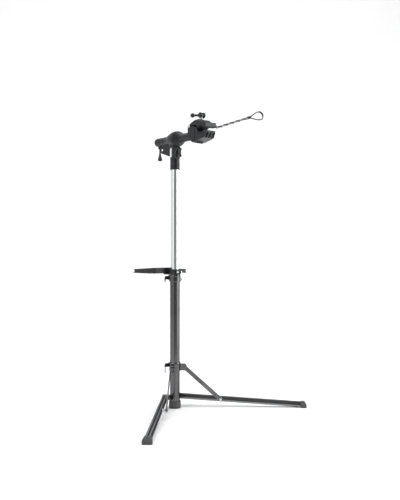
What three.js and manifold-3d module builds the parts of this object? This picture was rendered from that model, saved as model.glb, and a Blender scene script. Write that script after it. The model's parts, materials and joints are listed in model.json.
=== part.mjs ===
// A folding bicycle repair stand. A round column stands on its own foot and on two folding legs, which
// a sliding collar and two flat braces hold open. A mast slides in the column and carries a turning
// head with an arm, a clamp with rubber jaws, and a rope that steadies a handlebar.
// Millimetres, +Z up. The origin is the middle of the column's foot on the floor, and -Y is forwards,
// the way that the clamp points.
import * as THREE from 'three';
import { mergeVertices } from 'three/addons/utils/BufferGeometryUtils.js';
import Module from 'manifold-3d';

const wasm = await Module();
wasm.setup();

// ---------------------------------------------------------------- driving dimensions
const GAP = 0.3; // between pieces that touch
const BIG = 600; // longer than any cut
const ROUND = 32; // sides of the large round pieces
const MIDDLE = 20;
const SMALL = 12;

const COLUMN = { radius: 23.5, bore: 21.8, bottom: 8.3, top: 640.5 };
const FOOT = { radius: 29, height: 34, floor: 8 };
const MAST = { radius: 20.6, bore: 18.8, bottom: 500, top: 1255 };

const LEG = {
  offset: 48, // of the leg's middle plane from the column's axis
  hingeHeight: 50,
  slope: 3.3, // degrees down, with the stand open
  turn: 1.3, // degrees of both legs about the column, from the arm's plane
  width: 24,
  wall: 2.4,
  start: 14.5,
  end: 622,
  knuckleRadius: 14,
};
const LEG_FOOT = { start: 609, end: 637, width: 41, topWidth: 25, shoulder: 17, height: 29.5 };
const HUB = { low: 37, high: 63, radius: 24.9, armHalf: 13 };

const BRACE = {
  inner: 15, // its inner and outer face, from the column's axis
  outer: 19.5,
  halfWidth: 10,
  upper: { s: 45, z: 194.5 },
  lower: { s: 221.4, z: 39 },
  pin: 3.7,
};
const SLIDER = { low: 180, high: 223, radius: 27, lugEnd: 57, lugInner: 3 };
const HEIGHT_COLLAR = { low: 611, high: 645, radius: 28 };
const CLAMP_EARS = { inner: 2.2, outer: 11, reach: 44, boltY: 35, boltRadius: 3 };

const TRAY = {
  halfWidth: 99, near: 32, far: 208, floor: 651.5, sheet: 3, rimNear: 680, rimFar: 670,
  rimRight: 671, corner: 9, flange: 14,
};
const TRAY_RING = { low: 645.3, high: 672, radius: 25.5 };

const HEAD = {
  sleeveLow: 1153, sleeveHigh: 1214, collarHigh: 1262, sleeveRadius: 23.2, collarRadius: 25,
  earReach: 39, boltY: -31.5, upperBolt: 1252, lowerBolt: 1220, slit: 1207, slitHalf: 1.6,
};
const ARM = {
  z: 1301, // height of the arm's axis
  rear: 138,
  barrelRadius: 21,
  bore: 14.4,
  spindle: 14,
  bellRadius: 38,
  bellFront: -22,
  neckRadius: 20.3,
  neckBack: -46,
  jawBack: -138,
};
const LOCK_SCREW_Y = 120;

// The jaws are drawn in the plane of the arm. Their first number is the way forwards from the
// column's axis (-Y), and their second is the height.
const JAW = {
  halfWidth: 33,
  tip: 264.5,
  mouth: { f: 228, z: 1317, radius: 19.3 },
  pad: 3,
  lipLow: 1306.7, // the lower jaw's flat lip, and the upper jaw's
  lipHigh: 1327.3,
  pivot: { f: 150, z: 1340 },
  knuckle: 9,
  cheek: 22, // inside of the lower jaw's two knuckles
  pin: 4,
};
const ROD = { base: { f: 170.2, z: 1270.2 }, head: { f: 202, z: 1388 }, radius: 5 };
const CAM = { radius: 13, thickness: 26, reach: 68, ball: 11 };
const WHEEL = { radius: 27.5, half: 6, sleeveRadius: 9, sleeveTop: 25.5 };

const ROPE = { radius: 5.8, start: [41, -258, 1327.5], end: [259, -233.2, 1402] };
const FERRULE_END = [285, -230, 1411];
const LOOP = { radius: 2.75 };

// ---------------------------------------------------------------- materials
const finish = (color, roughness, metalness) => () =>
  new THREE.MeshStandardMaterial({ color, roughness, metalness });
const blackTube = finish(0x4a4b4d, 0.38, 0.7);
const silver = finish(0xe6e8ea, 0.22, 0.9);
const steel = finish(0xc4c7c9, 0.25, 1);
const casting = finish(0x232a30, 0.45, 0.35);
const plastic = finish(0x232425, 0.5, 0);
const rubber = finish(0x1a1a1b, 0.8, 0);
const cordFinish = finish(0x303031, 0.75, 0);

// ---------------------------------------------------------------- shapes
const V = (x, y, z) => new THREE.Vector3(x, y, z);
const degrees = THREE.MathUtils.degToRad;

// A closed geometry as a solid that can be joined and cut, facing outwards.
function solid(geometry) {
  const bare = new THREE.BufferGeometry();
  bare.setAttribute('position', geometry.getAttribute('position'));
  if (geometry.index) bare.setIndex(geometry.index);
  const merged = mergeVertices(bare, 1e-4);
  const points = merged.getAttribute('position').array;
  const index = merged.index.array;
  const corner = (i) => V(points[3 * i], points[3 * i + 1], points[3 * i + 2]);
  const triangles = [];
  let volume = 0;
  for (let t = 0; t < index.length; t += 3) {
    const [a, b, c] = [index[t], index[t + 1], index[t + 2]];
    if (a === b || b === c || c === a) continue;
    triangles.push([a, b, c]);
    volume += corner(a).dot(corner(b).cross(corner(c)));
  }
  const outward = volume < 0 ? triangles.map(([a, b, c]) => [a, c, b]) : triangles;
  return new wasm.Manifold(new wasm.Mesh({
    numProp: 3,
    vertProperties: new Float32Array(points),
    triVerts: new Uint32Array(outward.flat()),
  }));
}

// A named mesh from a solid, with its own material.
function mesh(name, shape, material) {
  const { vertProperties, triVerts } = shape.getMesh();
  const geometry = new THREE.BufferGeometry();
  geometry.setAttribute('position', new THREE.BufferAttribute(new Float32Array(vertProperties), 3));
  geometry.setIndex(new THREE.BufferAttribute(new Uint32Array(triVerts), 1));
  geometry.computeVertexNormals();
  const made = new THREE.Mesh(geometry, material());
  made.name = name;
  return made;
}

const join = (...shapes) => shapes.reduce((a, b) => a.add(b));
const cut = (shape, ...tools) => tools.reduce((a, b) => a.subtract(b), shape);

function box(x0, x1, y0, y1, z0, z1) {
  const geometry = new THREE.BoxGeometry(Math.abs(x1 - x0), Math.abs(y1 - y0), Math.abs(z1 - z0));
  return solid(geometry.translate((x0 + x1) / 2, (y0 + y1) / 2, (z0 + z1) / 2));
}

// A cylinder, or a cone, from one point to another.
function rod(from, to, radius, sides = SMALL, endRadius = radius) {
  const along = to.clone().sub(from);
  const geometry = new THREE.CylinderGeometry(endRadius, radius, along.length(), sides);
  geometry.translate(0, along.length() / 2, 0);
  geometry.applyQuaternion(new THREE.Quaternion().setFromUnitVectors(V(0, 1, 0), along.normalize()));
  return solid(geometry.translate(from.x, from.y, from.z));
}

function ball(at, radius, sides = 14) {
  const geometry = new THREE.SphereGeometry(radius, sides, sides / 2);
  return solid(geometry.translate(at.x, at.y, at.z));
}

// A profile of [radius, height] points turned about Z. One that doesn't touch the axis is closed.
function turned(profile, sides = ROUND) {
  const closed = profile[0][0] > 0 ? [...profile, profile[0]] : profile;
  const geometry = new THREE.LatheGeometry(closed.map(([r, z]) => new THREE.Vector2(r, z)), sides);
  return solid(geometry.rotateX(Math.PI / 2));
}

// The same about the arm's axis: the second number is the position along Y.
function turnedOnArm(profile, sides = ROUND) {
  const closed = profile[0][0] > 0 ? [...profile, profile[0]] : profile;
  const geometry = new THREE.LatheGeometry(closed.map(([r, y]) => new THREE.Vector2(r, y)), sides);
  return solid(geometry.translate(0, 0, ARM.z));
}

const ring = (inner, outer, low, high, sides = ROUND) =>
  turned([[inner, low], [outer, low], [outer, high], [inner, high]], sides);

const outlineOf = (points) => new THREE.Shape(points.map(([a, b]) => new THREE.Vector2(a, b)));
const straight = (depth) => ({ depth, bevelEnabled: false, steps: 1 });

// An outline of [x, y] points, upright between two heights.
function upright(outline, low, high) {
  const geometry = new THREE.ExtrudeGeometry(outlineOf(outline), straight(high - low));
  return solid(geometry.translate(0, 0, low));
}

// An outline of [a, z] points in a vertical plane, with a along `along` and its thickness along
// `across`, from one distance to another.
function sheetOf(outline, along, across, from, to) {
  const geometry = new THREE.ExtrudeGeometry(outlineOf(outline), straight(to - from));
  geometry.translate(0, 0, from);
  return solid(geometry.applyMatrix4(new THREE.Matrix4().makeBasis(along, V(0, 0, 1), across)));
}

const FORWARD = V(0, -1, 0);
const ACROSS = V(1, 0, 0);
const inArmPlane = (outline, x0, x1) => sheetOf(outline, FORWARD, ACROSS, x0, x1);

// Points of an arc about [a, b], from one angle to another, in degrees.
function arc(a, b, radius, from, to, steps) {
  return Array.from({ length: steps + 1 }, (_, i) => {
    const angle = degrees(from + ((to - from) * i) / steps);
    return [a + radius * Math.cos(angle), b + radius * Math.sin(angle)];
  });
}

function roundedRectangle(x0, x1, y0, y1, r) {
  return [
    ...arc(x1 - r, y1 - r, r, 0, 90, 5), ...arc(x0 + r, y1 - r, r, 90, 180, 5),
    ...arc(x0 + r, y0 + r, r, 180, 270, 5), ...arc(x1 - r, y0 + r, r, 270, 360, 5),
  ];
}

// A hexagonal bar from one point to another, such as a nut or a bolt's head.
const hexagon = (from, to, radius) => rod(from, to, radius, 6);

// A round section swept along a smooth line through points.
function swept(points, radius, sides, steps, closed = false) {
  const path = new THREE.CatmullRomCurve3(points.map((p) => V(...p)), closed, 'centripetal');
  const section = outlineOf(arc(0, 0, radius, 0, 360 - 360 / sides, sides - 1));
  return solid(new THREE.ExtrudeGeometry(section, { steps, extrudePath: path, bevelEnabled: false }));
}

// ---------------------------------------------------------------- column and foot
function columnFoot() {
  const { radius, height, floor } = FOOT;
  const inside = COLUMN.radius + GAP;
  return turned([
    [0, 0], [radius - 2.5, 0], [radius, 3], [radius, height - 8], [radius - 1.2, height - 7],
    [radius - 1.2, height - 6], [radius, height - 5], [radius - 0.6, height], [inside, height],
    [inside, floor], [0, floor],
  ]);
}

const mainTube = () => ring(COLUMN.bore, COLUMN.radius, COLUMN.bottom, COLUMN.top);

// The two arms reach out to the inner faces of the legs' knuckles.
function legHub(sides) {
  const { low, high, radius, armHalf } = HUB;
  let body = turned([
    [COLUMN.radius + GAP, low], [radius - 0.5, low], [radius, low + 0.5], [radius, high - 0.5],
    [radius - 0.5, high], [COLUMN.radius + GAP, high],
  ]);
  for (const side of sides) {
    const reach = LEG.offset - LEG.width / 2 - GAP;
    const outline = roundedRectangle(-armHalf, armHalf, low + 1, high - 1, 6);
    const arm = sheetOf(outline, side.along, side.out, 20, reach);
    const hole = rod(side.at(0, radius + 0.6, LEG.hingeHeight), side.at(0, BIG, LEG.hingeHeight),
      JAW.pin + GAP);
    body = cut(join(body, cut(arm, rod(V(0, 0, 0), V(0, 0, BIG), COLUMN.radius + GAP, ROUND))), hole);
  }
  return body;
}

// ---------------------------------------------------------------- sides of the stand
// A leg and its brace lie in two upright planes beside the column. `along` runs out to the foot and
// `out` away from the column, both level.
function sideOf(name, sign) {
  const yaw = degrees(LEG.turn + (sign > 0 ? -45 : -135));
  const along = V(Math.cos(yaw), Math.sin(yaw), 0);
  const out = V(-Math.sin(yaw), Math.cos(yaw), 0).multiplyScalar(sign);
  const at = (s, n, z) => V(0, 0, z).addScaledVector(along, s).addScaledVector(out, n);
  return { name, sign, yaw, along, out, at };
}

// The leg's own group stands at its hinge: X runs along the leg, and Y away from the column on the
// right leg and towards it on the left.
function legGroup(side) {
  const yaw = new THREE.Group();
  yaw.rotation.z = side.yaw;
  const pitch = new THREE.Group();
  pitch.position.set(0, side.sign * LEG.offset, LEG.hingeHeight);
  pitch.rotation.y = degrees(LEG.slope);
  yaw.add(pitch);
  return { yaw, pitch };
}

// A square tube with a groove along its top and both of its sides.
function legTube() {
  const half = LEG.width / 2;
  const inner = half - LEG.wall;
  const length = [LEG.start, LEG.end];
  const outline = roundedRectangle(-half, half, -half, half, 2.2);
  let bar = sheetOf(outline, V(0, 1, 0), V(1, 0, 0), ...length);
  bar = cut(bar, box(0, BIG * 2, -inner, inner, -inner, inner));
  const [grooveHalf, depth] = [3, 1.1];
  return cut(
    bar,
    box(0, BIG * 2, -grooveHalf, grooveHalf, half - depth, half + 5),
    box(0, BIG * 2, half - depth, half + 5, -grooveHalf, grooveHalf),
    box(0, BIG * 2, -half - 5, -half + depth, -grooveHalf, grooveHalf),
  );
}

function legKnuckle() {
  const half = LEG.width / 2;
  const r = LEG.knuckleRadius;
  const outline = [
    ...arc(0, 0, r, 75, 285, 14), [LEG.start - GAP, -half], [LEG.start - GAP, half],
  ];
  const body = sheetOf(outline, V(1, 0, 0), V(0, -1, 0), -half, half);
  return cut(body, rod(V(0, -BIG, 0), V(0, BIG, 0), JAW.pin + GAP));
}

// The rubber shoe stands level, so it is cut to the sloping leg that it holds.
function legFoot() {
  const { start, end, width, topWidth, shoulder, height } = LEG_FOOT;
  const z = -LEG.hingeHeight;
  const outline = [
    [start, z], [end - 3, z], [end, z + 3], [end, z + shoulder - 1], [end - 9, z + height],
    [start + 2, z + height], [start, z + height - 1],
  ];
  const shoe = sheetOf(outline, V(1, 0, 0), V(0, -1, 0), -width / 2, width / 2);
  const slopes = [-1, 1].map((s) => sheetOf(
    [[s * width / 2, z + shoulder], [s * (width / 2 + 5), z + shoulder], [s * (width / 2 + 5), z + height + 5],
      [s * topWidth / 2, z + height + 5], [s * topWidth / 2, z + height]],
    V(0, 1, 0), V(1, 0, 0), start - 5, end + 5));
  const half = LEG.width / 2 + GAP;
  const pocket = new THREE.BoxGeometry(BIG, 2 * half, 2 * half);
  pocket.translate(LEG.end + GAP - BIG / 2, 0, 0).rotateY(degrees(LEG.slope));
  const trims = [-1, 1].map((s) => upright(
    [[start - 1, s * (width / 2 + 1)], [start - 1, s * (width / 2 - 4)], [start + 8, s * (width / 2 + 1)]],
    z - 1, z + height + 2,
  ));
  return cut(shoe, solid(pocket), ...slopes, ...trims);
}

// Between the leg and its brace, where the brace's lower pin lies.
function legLug(side) {
  const { s, z } = BRACE.lower;
  const bare = LEG.offset - LEG.width / 2;
  return join(
    rod(side.at(s, BRACE.outer + GAP, z), side.at(s, bare - GAP, z), 6),
    rod(side.at(s, bare - 2, z), side.at(s, bare - GAP, z), 9),
  );
}

function hingePin(side) {
  const outer = LEG.offset + LEG.width / 2;
  const z = LEG.hingeHeight;
  return join(
    rod(side.at(0, HUB.radius + 1, z), side.at(0, outer + GAP + 1, z), JAW.pin),
    rod(side.at(0, outer + GAP, z), side.at(0, outer + 3.4, z), 7.5, SMALL, 6),
  );
}

function braceBar(side) {
  const { upper, lower, halfWidth, inner, outer } = BRACE;
  const angle = THREE.MathUtils.radToDeg(Math.atan2(lower.z - upper.z, lower.s - upper.s));
  const outline = [
    ...arc(upper.s, upper.z, halfWidth, angle + 90, angle + 270, 10),
    ...arc(lower.s, lower.z, halfWidth, angle - 90, angle + 90, 10),
  ];
  const bar = sheetOf(outline, side.along, side.out, inner, outer);
  const hole = ({ s, z }) => rod(side.at(s, 0, z), side.at(s, 100, z), BRACE.pin + GAP, SMALL);
  return cut(bar, hole(upper), hole(lower));
}

function braceUpperPin(side) {
  const { s, z } = BRACE.upper;
  return join(
    rod(side.at(s, 1, z), side.at(s, BRACE.outer + 1, z), BRACE.pin, SMALL),
    rod(side.at(s, SLIDER.lugInner - 3.5, z), side.at(s, SLIDER.lugInner - GAP, z), 7, SMALL),
    rod(side.at(s, BRACE.outer + GAP, z), side.at(s, BRACE.outer + 3.3, z), 7, SMALL),
  );
}

function braceLowerPin(side) {
  const { s, z } = BRACE.lower;
  return join(
    rod(side.at(s, BRACE.inner - 1, z), side.at(s, BRACE.outer, z), BRACE.pin, SMALL),
    rod(side.at(s, BRACE.inner - 3.3, z), side.at(s, BRACE.inner - GAP, z), 5.6, SMALL, 6.4),
  );
}

// ---------------------------------------------------------------- clamping collars
// Two ears behind the collar, with a slit between them and a bolt through both.
function ears(low, high, radius) {
  const { inner, outer, reach, boltY, boltRadius } = CLAMP_EARS;
  const outline = [
    [radius - 7, low], [reach - 6, low], [reach, low + 6], [reach, high - 6], [reach - 6, high],
    [radius - 7, high],
  ];
  const pair = [-1, 1].map((s) => sheetOf(outline, V(0, 1, 0), V(1, 0, 0),
    s > 0 ? inner : -outer, s > 0 ? outer : -inner));
  const middle = (low + high) / 2;
  const slit = box(-inner, inner, 10, reach + 5, low - BIG, high + BIG);
  const hole = rod(V(-BIG, boltY, middle), V(BIG, boltY, middle), boltRadius + GAP);
  return { pair, slit, hole, middle };
}

const SLIDER_EARS = [194, 216];
const HEIGHT_EARS = [618, 642];

function sliderCollar(sides) {
  const { low, high, radius, lugEnd, lugInner } = SLIDER;
  const inside = COLUMN.radius + GAP;
  const body = turned([
    [inside, low], [radius - 0.8, low], [radius - 0.8, high - 9], [radius + 1.2, high - 8],
    [radius + 1.2, high - 4.5], [radius, high - 3.5], [radius - 0.5, high], [inside, high],
  ]);
  const { pair, slit, hole } = ears(...SLIDER_EARS, radius);
  const bore = rod(V(0, 0, 0), V(0, 0, BIG * 2), inside, ROUND);
  const thickness = [lugInner, BRACE.inner - GAP];
  const lugs = sides.map((side) => {
    const outline = [
      [8, low], [lugEnd - 4, low], [lugEnd, low + 4],
      ...arc(lugEnd - 12, low + 21, 12, 0, 90, 5), [8, low + 33],
    ];
    const { s, z } = BRACE.upper;
    const pinHole = rod(side.at(s, 0, z), side.at(s, 60, z), BRACE.pin + GAP, SMALL);
    return cut(sheetOf(outline, side.along, side.out, ...thickness), pinHole);
  });
  return cut(join(body, ...pair, ...lugs), bore, slit, hole);
}

// The collar's lip covers the column's end and guides the mast.
function heightCollar() {
  const { low, high, radius } = HEIGHT_COLLAR;
  const body = turned([
    [COLUMN.radius + GAP, low], [radius - 1.5, low], [radius - 0.5, low + 2], [radius - 0.5, high - 8],
    [radius, high - 7], [radius, high - 1], [radius - 1, high], [MAST.radius + 0.4, high],
    [MAST.radius + 0.4, COLUMN.top + GAP], [COLUMN.radius + GAP, COLUMN.top + GAP],
  ]);
  const { pair, slit, hole } = ears(...HEIGHT_EARS, radius);
  const bore = rod(V(0, 0, 0), V(0, 0, BIG * 2), COLUMN.radius + GAP, ROUND);
  const boss = cut(rod(guideAt(20), guideAt(30.5), 8), rod(V(0, 0, 0), V(0, 0, BIG * 2), 27, ROUND));
  const tapped = rod(guideAt(20), guideAt(60), 2.8);
  return cut(join(body, boss, ...pair.map((ear) => cut(ear, bore))), slit, hole, tapped);
}

// The screw at the front of the height collar holds the mast from turning.
const GUIDE = { angle: -62, z: 623.5 };
const guideAt = (r) =>
  V(r * Math.cos(degrees(GUIDE.angle)), r * Math.sin(degrees(GUIDE.angle)), GUIDE.z);
const guideScrew = () => join(
  rod(guideAt(COLUMN.radius + 1.2), guideAt(32), 2.5),
  rod(guideAt(30.8), guideAt(35.5), 6, SMALL, 5.2),
);

// Bolt through a pair of ears, with a nut at its right end and the cam's eye at its left.
function collarBolt(z) {
  const { boltY, boltRadius, outer } = CLAMP_EARS;
  const at = (x) => V(x, boltY, z);
  return join(
    rod(at(-22), at(outer + 6), boltRadius),
    hexagon(at(outer + GAP), at(outer + 5.5), 6.2),
    rod(V(-22, boltY - 3, z), V(-22, boltY + 3, z), 4.6),
    rod(at(-outer - 1.4), at(-outer - GAP), 6.5),
  );
}

// A cam head around the bolt's eye with a thin curved blade that hangs from it.
function camLever(z, drop) {
  const { boltY } = CLAMP_EARS;
  const x = -22;
  const head = rod(V(x, boltY - 7.5, z), V(x, boltY + 7.5, z), 9);
  const blade = [
    [x - 5.5, z + 7], [x - 9.5, z + 2], [x - 11.5, z - 8], [x - 13.5, z - drop + 4], [x - 12.6, z - drop],
    [x - 10.5, z - drop + 1], [x - 8.6, z - 10], [x - 4, z - 4],
  ];
  const bladeSolid = sheetOf(blade, V(1, 0, 0), V(0, -1, 0), -boltY - 6, -boltY + 6);
  const slot = box(x - 5.4, x + 60, boltY - 3 - GAP, boltY + 3 + GAP, z - 5.4, z + 30);
  return cut(join(head, bladeSolid), slot);
}

// ---------------------------------------------------------------- mast and tray
const innerTube = () => ring(MAST.bore, MAST.radius, MAST.bottom, MAST.top);

function guideBush() {
  const outer = COLUMN.bore - 0.4;
  const plug = MAST.bore - GAP;
  const z = MAST.bottom - GAP;
  return turned([
    [plug - 4, z - 12], [outer - 1, z - 12], [outer, z - 11], [outer, z], [plug, z], [plug, z + 15],
    [plug - 4, z + 15],
  ]);
}

const TRAY_CLAMP_Y = -33;
const TRAY_CLAMP_Z = 659;
const TRAY_SCREWS = [-12, 12];
const TRAY_SCREW_Y = 50;

// The ring turns on the mast. Its tongue carries the tray, and a screw at the front nips it.
function trayRing() {
  const { low, high, radius } = TRAY_RING;
  const body = turned([
    [MAST.radius + GAP, low], [radius, low], [radius + 1.5, low + 5], [radius, low + 9],
    [radius, high - 1], [radius - 1, high], [MAST.radius + GAP, high],
  ]);
  const bore = rod(V(0, 0, 0), V(0, 0, BIG * 2), MAST.radius + GAP, ROUND);
  const tongue = cut(box(-20, 20, 18, 66, low, TRAY.floor - GAP),
    ...TRAY_SCREWS.map((x) => rod(V(x, TRAY_SCREW_Y, low - 5), V(x, TRAY_SCREW_Y, TRAY.floor), 2 + GAP)));
  const neck = box(-14, 14, 15, TRAY.near - GAP, low, high - 6);
  const earOutline = [[18, low + 3], [35, low + 3], [40, low + 8], [40, high - 8], [35, high - 3],
    [18, high - 3]];
  const pair = [inArmPlane(earOutline, -8, -1.5), inArmPlane(earOutline, 1.5, 8)];
  const slit = box(-1.5, 1.5, -60, -15, low - 5, high + 5);
  const at = (x) => V(x, TRAY_CLAMP_Y, TRAY_CLAMP_Z);
  return cut(join(body, tongue, neck, ...pair), bore, slit, rod(at(-20), at(20), 3.3));
}

function trayPan() {
  const { halfWidth, near, far, floor, sheet, rimNear, rimFar, rimRight, corner, flange } = TRAY;
  const outside = upright(roundedRectangle(-halfWidth, halfWidth, near, far, corner), floor, rimNear + 4);
  const inside = upright(roundedRectangle(-halfWidth + sheet, halfWidth - sheet, near + sheet,
    far - sheet, corner - sheet), floor + sheet, rimNear + 9);
  const above = sheetOf([[near - 2, rimNear], [far + 2, rimFar], [far + 2, 720], [near - 2, 720]],
    V(0, 1, 0), V(1, 0, 0), -BIG, BIG);
  const aboveRight = box(20, BIG, near - 2, far + 2, rimRight, 720);
  const wings = [-1, 1].map((s) => upright(
    [[s * (halfWidth - 1), near + 12], [s * (halfWidth + flange), near + 18],
      [s * (halfWidth + flange), far - 14], [s * (halfWidth - 1), far - 8]], floor, floor + sheet));
  const top = floor + sheet;
  const holes = TRAY_SCREWS.map((x) => join(
    rod(V(x, TRAY_SCREW_Y, top + 0.01), V(x, TRAY_SCREW_Y, top - 2.4), 4.8, MIDDLE, 2.4),
    rod(V(x, TRAY_SCREW_Y, top), V(x, TRAY_SCREW_Y, floor - 1), 2.4, MIDDLE),
  ));
  return cut(join(cut(outside, inside, above, aboveRight), ...wings), ...holes);
}

// Countersunk, and just below the tray's floor.
const trayScrew = (x) => {
  const at = (z) => V(x, TRAY_SCREW_Y, z);
  const top = TRAY.floor + TRAY.sheet - 0.25;
  return join(rod(at(top), at(top - 2), 4.2, MIDDLE, 2), rod(at(top - 1), at(TRAY_RING.low + 1), 2));
};

function trayBolt() {
  const at = (x) => V(x, TRAY_CLAMP_Y, TRAY_CLAMP_Z);
  return join(
    rod(at(-11), at(13), 3),
    rod(at(-12.5), at(-8.3), 6.2, SMALL),
    hexagon(at(8.3), at(13.5), 6.2),
  );
}

// ---------------------------------------------------------------- head
function headBracket() {
  const { sleeveLow, sleeveHigh, collarHigh, sleeveRadius, collarRadius, earReach, slitHalf } = HEAD;
  const inside = MAST.radius + GAP;
  const ridge = (low) => [[sleeveRadius, low], [sleeveRadius + 0.9, low + 0.9],
    [sleeveRadius + 0.9, low + 3.1], [sleeveRadius, low + 4]];
  const sleeve = turned([
    [inside, sleeveLow], [sleeveRadius, sleeveLow], ...ridge(1158), ...ridge(1178),
    [sleeveRadius, sleeveHigh - 7], [sleeveRadius + 1, sleeveHigh - 6], [sleeveRadius + 1, sleeveHigh],
    [inside, sleeveHigh],
  ]);
  const bore = rod(V(0, 0, 0), V(0, 0, MAST.top + 2), inside, ROUND);
  // The collar is open behind and at the left, so that it can close on the mast.
  const open = upright([[0, 0], [-6, 50], [-60, 50], [-60, -14], [0, 0]].slice(0, 4), sleeveHigh,
    collarHigh);
  const earOutline = [[18, sleeveHigh], [earReach - 7, sleeveHigh], [earReach, sleeveHigh + 7],
    [earReach, collarHigh - 7], [earReach - 7, collarHigh], [18, collarHigh]];
  const pair = [inArmPlane(earOutline, -9, -slitHalf), inArmPlane(earOutline, slitHalf, 9)];
  const slit = box(-slitHalf, slitHalf, -80, -10, HEAD.slit, collarHigh);
  const collar = cut(join(ring(15, collarRadius, sleeveHigh - 1, collarHigh), ...pair), open);
  const cap = turned([[0, collarHigh - 6], [collarRadius, collarHigh - 1], [collarRadius + 1, 1272],
    [collarRadius - 2, ARM.z], [0, ARM.z]]);
  const web = cut(inArmPlane([
    [-16, ARM.z], [-16, collarHigh], [-43, collarHigh], [-43, 1223], [-60, 1229], [-80, 1236],
    [-103, 1243], [-113, 1250], [-115, 1262], [-115, 1267], [-124, 1285], [-124, ARM.z],
  ], -4.5, 4.5), inArmPlane(roundedRectangle(-110.5, -91, 1255, 1265, 4), -10, 10));
  const r = ARM.barrelRadius;
  const barrel = turnedOnArm([
    [ARM.bore, ARM.rear], [r - 1.5, ARM.rear], [r, ARM.rear - 3], [r, ARM.rear - 34], [r - 1, ARM.rear - 37],
    [r, 60], [r + 2.5, 45], [28, 32], [33.5, 16], [37, 0], [ARM.bellRadius, -8],
    [ARM.bellRadius, ARM.bellFront], [ARM.bore, ARM.bellFront],
  ]);
  const boss = rod(V(0, LOCK_SCREW_Y, ARM.z), V(0, LOCK_SCREW_Y, 1267), 11, MIDDLE, 9);
  const screwHole = rod(V(0, LOCK_SCREW_Y, 1200), V(0, LOCK_SCREW_Y, ARM.z), 4 + GAP);
  const armBore = turnedOnArm([[0, ARM.rear + 50], [ARM.bore, ARM.rear + 50], [ARM.bore, -60], [0, -60]]);
  const holes = [HEAD.upperBolt, HEAD.lowerBolt].map((z) =>
    rod(V(-40, HEAD.boltY, z), V(40, HEAD.boltY, z), 3 + GAP, SMALL));
  const front = box(-60, 60, -90, ARM.bellFront, collarHigh + 0.2, 1360);
  return cut(join(sleeve, collar, cap, web, barrel, boss), bore, slit, front, screwHole, armBore,
    ...holes);
}

const headBolt = (z) => join(
  rod(V(-10, HEAD.boltY, z), V(14, HEAD.boltY, z), 3, SMALL),
  rod(V(-14, HEAD.boltY, z), V(-9.3, HEAD.boltY, z), 5.4, SMALL, 6.2),
  hexagon(V(9.3, HEAD.boltY, z), V(13.5, HEAD.boltY, z), 5.8),
);

// The lever hugs the left side of the head and curves down from its cam.
function headLever() {
  const [x0, x1] = [-21, -14.2];
  const z = HEAD.upperBolt;
  const outline = [
    ...arc(-HEAD.boltY, z, 9, 20, 200, 10), [22.5, z - 14], [21.5, 1222], [22, 1209], [26, 1206],
    [29, 1212], [27.5, 1226], [29.5, z - 14],
  ];
  return inArmPlane(outline, x0, x1);
}

function barrelCap() {
  const { rear, bore, barrelRadius } = ARM;
  return turnedOnArm([
    [0, rear - 9], [bore - GAP, rear - 9], [bore - GAP, rear + GAP], [barrelRadius - 1, rear + GAP],
    [barrelRadius - 2, rear + 3.5], [barrelRadius - 5, rear + 5], [0, rear + 5],
  ]);
}

function lockScrew() {
  const at = (z) => V(0, LOCK_SCREW_Y, z);
  return join(rod(at(1230), at(ARM.z - ARM.spindle - 0.6), 4), rod(at(1230), at(1246), 7, SMALL, 4.6));
}

function lockKnob() {
  const knob = turned([
    [0, 1208], [8.5, 1208], [11, 1211], [11.3, 1219], [9.5, 1224.5], [7.2, 1229.7], [0, 1229.7],
  ], SMALL);
  const flutes = Array.from({ length: 6 }, (_, i) => {
    const angle = degrees(60 * i + 30);
    const [x, y] = [13.6 * Math.cos(angle), 13.6 * Math.sin(angle)];
    return rod(V(x, y, 1200), V(x, y, 1240), 4, 8);
  });
  return cut(knob, ...flutes).translate([0, LOCK_SCREW_Y, 0]);
}

// Washers between the head and the neck, each turned with a groove.
const RINGS = [[37, -22.3, -30], [34, -30.3, -38], [31, -38.3, -45.7]];
const frictionRing = ([radius, back, front]) => turnedOnArm([
  [ARM.bore, back], [radius - 1, back], [radius, back - 1], [radius, front + 2], [radius - 1.5, front],
  [ARM.bore, front],
]);

function clampShaft() {
  const { rear, spindle, neckRadius, neckBack, jawBack } = ARM;
  return turnedOnArm([
    [0, rear - 12], [spindle, rear - 12], [spindle, neckBack], [neckRadius + 2.4, neckBack],
    [neckRadius + 2.4, neckBack - 6], [neckRadius, neckBack - 8], [neckRadius, jawBack + GAP],
    [0, jawBack + GAP],
  ]);
}

// ---------------------------------------------------------------- jaws
const rodDirection = V(0, ROD.base.f - ROD.head.f, ROD.head.z - ROD.base.z).normalize();
const onRod = (distance) =>
  V(0, -ROD.base.f, ROD.base.z).addScaledVector(rodDirection, distance);
const rodLength = Math.hypot(ROD.head.f - ROD.base.f, ROD.head.z - ROD.base.z);

const acrossAt = ({ f, z }, x0, x1, radius, sides = MIDDLE) => rod(V(x0, -f, z), V(x1, -f, z), radius, sides);

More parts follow.
